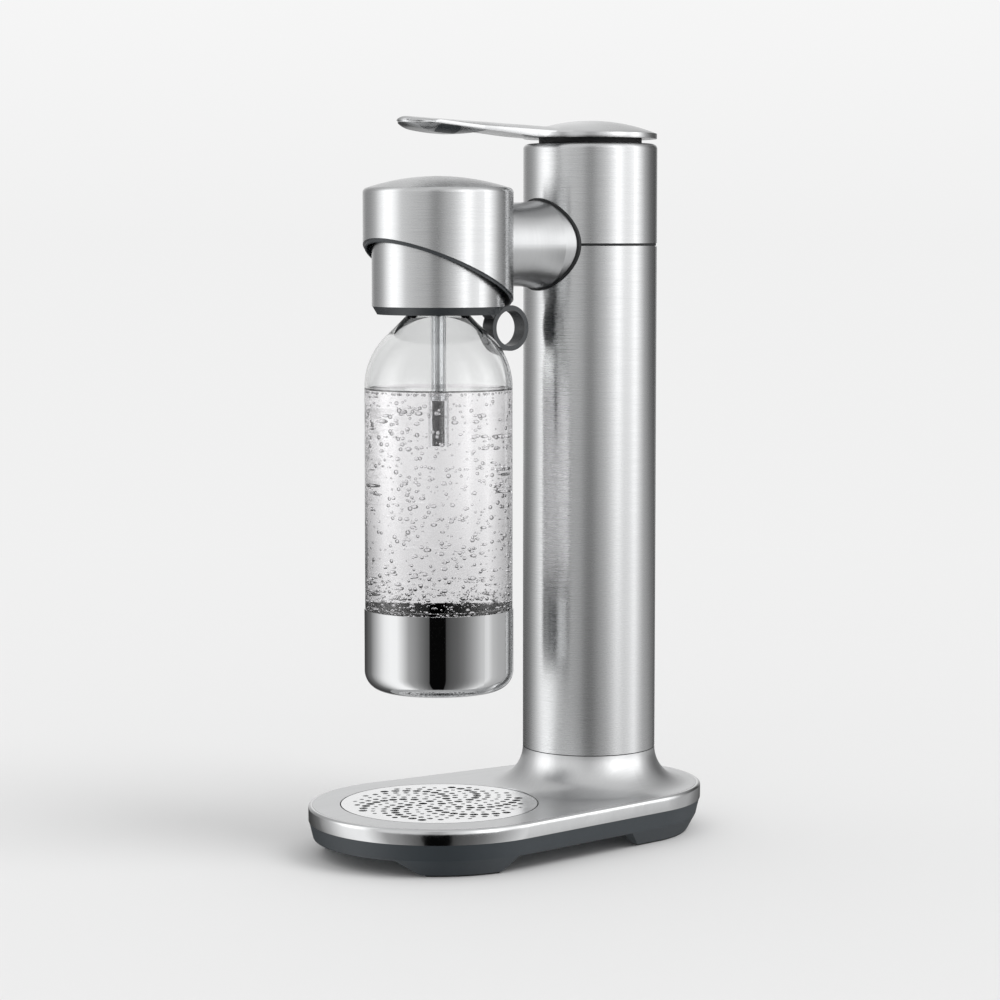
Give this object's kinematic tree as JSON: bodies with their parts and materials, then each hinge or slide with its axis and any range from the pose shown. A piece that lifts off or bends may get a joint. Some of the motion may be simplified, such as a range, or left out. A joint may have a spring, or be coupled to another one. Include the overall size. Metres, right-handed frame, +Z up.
{
  "type": "sparkling water maker",
  "caption": "Brushed steel sparkling water maker with a lever on a round column, a slanted-lip head that holds a clear bottle with a steel foot cup, and an oval base with a drip grille",
  "frame": {"origin": "on the table plane under the middle of the bounding box of the base", "axes": "+Z up; the bottle and head stand towards -Y and the column towards +Y; X runs across the machine"},
  "size_m": [0.152, 0.2564, 0.4242],
  "materials": {
    "brushed_steel": "horizontal fine brushed grain",
    "satin_steel": "fine satin grain",
    "polished_steel": "polished",
    "grille_steel": "pale polished sheet",
    "neck_steel": "brushed round the arm",
    "lever_steel": "smooth satin polish",
    "mirror_steel": "mirror polish",
    "tube_steel": "drawn tube",
    "screw_steel": "dark coated",
    "cylinder_steel": "satin paint",
    "valve_brass": "turned",
    "cast_aluminium": "cast, machined",
    "base_plastic": "fine texture",
    "dark_plastic": "fine texture",
    "inner_plastic": "moulded",
    "liner_plastic": "smooth",
    "collar_plastic": "soft gloss",
    "grip_plastic": "soft gloss",
    "porous_plastic": "porous",
    "clear_plastic": "clear tube",
    "bottle_plastic": "clear, polished",
    "black_rubber": "matte"
  },
  "bodies": {
    "stand": {"base_plate": "satin_steel", "base_rim": "polished_steel", "base_underbody": "base_plastic", "foot_pads": "black_rubber", "base_frame": "inner_plastic", "base_screws": "screw_steel", "foot_seal": "black_rubber", "lower_column": "brushed_steel", "seam_ring": "dark_plastic", "upper_column": "brushed_steel", "column_chassis": "inner_plastic", "cylinder_cradle": "dark_plastic", "cylinder_pad": "black_rubber", "valve_body": "cast_aluminium", "valve_seal": "black_rubber", "relief_valve": "valve_brass", "plunger_spring": "polished_steel", "pivot_bracket": "cast_aluminium", "pivot_pin": "polished_steel", "chassis_screws": "screw_steel", "gas_tube": "dark_plastic", "neck": "neck_steel", "neck_core": "inner_plastic", "neck_gasket": "dark_plastic", "neck_bolts": "screw_steel", "head_shell": "brushed_steel", "head_liner": "liner_plastic", "nozzle_block": "cast_aluminium"},
    "tray": {"drip_cup": "dark_plastic"},
    "grille": {"drip_grille": "grille_steel"},
    "rear_cover": {"rear_cover": "brushed_steel", "cover_frame": "dark_plastic"},
    "gas_cylinder": {"gas_cylinder": "cylinder_steel", "cylinder_valve": "valve_brass"},
    "valve_pin": {"valve_pin": "valve_brass"},
    "plunger": {"plunger": "polished_steel"},
    "lever": {"lever_top": "lever_steel", "lever_underside": "lever_steel", "lever_hub": "dark_plastic", "lever_grip": "grip_plastic"},
    "socket": {"bottle_socket": "cast_aluminium", "socket_pins": "polished_steel", "socket_seal": "black_rubber"},
    "cap": {"cap_shell": "brushed_steel", "cap_core": "inner_plastic", "cap_collar": "collar_plastic", "cap_seal": "black_rubber", "vent_pin": "polished_steel", "carbonating_tube": "tube_steel", "tube_sheath": "clear_plastic", "diffuser": "porous_plastic"},
    "vent_ring": {"vent_ring": "collar_plastic"},
    "bottle": {"bottle": "bottle_plastic", "bottle_cup": "mirror_steel"}
  },
  "joints": [
    {"name": "lever_press", "type": "hinge", "parent": "stand", "child": "lever", "pos_m": [0, 0.08475, 0.404], "axis": [1, 0, 0], "range_deg": [0, 2.5], "stiffness_Nm_per_rad": 12, "springref_deg": -2.86},
    {"name": "plunger_push", "type": "slide", "parent": "stand", "child": "plunger", "axis": [0, 0, -1], "range_m": [0, 0.0012], "deforming": ["plunger_spring"]},
    {"name": "valve_pin_push", "type": "slide", "parent": "gas_cylinder", "child": "valve_pin", "axis": [0, 0, -1], "range_m": [0, 0.0012]},
    {"name": "bottle_tilt", "type": "hinge", "parent": "stand", "child": "socket", "pos_m": [0, -0.05225, 0.3615], "axis": [-1, 0, 0], "range_deg": [0, 12]},
    {"name": "cap_release", "type": "slide", "parent": "socket", "child": "cap", "axis": [0, 0, -1], "range_m": [0, 0.05]},
    {"name": "bottle_unscrew", "type": "hinge", "parent": "cap", "child": "bottle", "pos_m": [0, -0.05225, 0.3], "axis": [0, 0, 1], "range_deg": [0, 360]},
    {"name": "vent_ring_pull", "type": "hinge", "parent": "cap", "child": "vent_ring", "pos_m": [0, -0.01825, 0.3139], "axis": [-1, 0, 0], "range_deg": [0, 8], "stiffness_Nm_per_rad": 0.2, "springref_deg": -5.73},
    {"name": "tray_lift", "type": "slide", "parent": "stand", "child": "tray", "axis": [0, 0, 1], "range_m": [0, 0.006]},
    {"name": "grille_lift", "type": "slide", "parent": "tray", "child": "grille", "axis": [0, 0, 1], "range_m": [0, 0.006]},
    {"name": "rear_cover_off", "type": "slide", "parent": "stand", "child": "rear_cover", "axis": [0, 1, 0], "range_m": [0, 0.05]},
    {"name": "cylinder_turn", "type": "hinge", "parent": "stand", "child": "gas_cylinder", "pos_m": [0, 0.06075, 0.2], "axis": [0, 0, 1], "range_deg": [0, 360]}
  ],
  "couplings": [
    {"joint": "plunger_push", "follows": "lever_press", "m_per_rad": 0.024},
    {"joint": "valve_pin_push", "follows": "lever_press", "m_per_rad": 0.024}
  ]
}
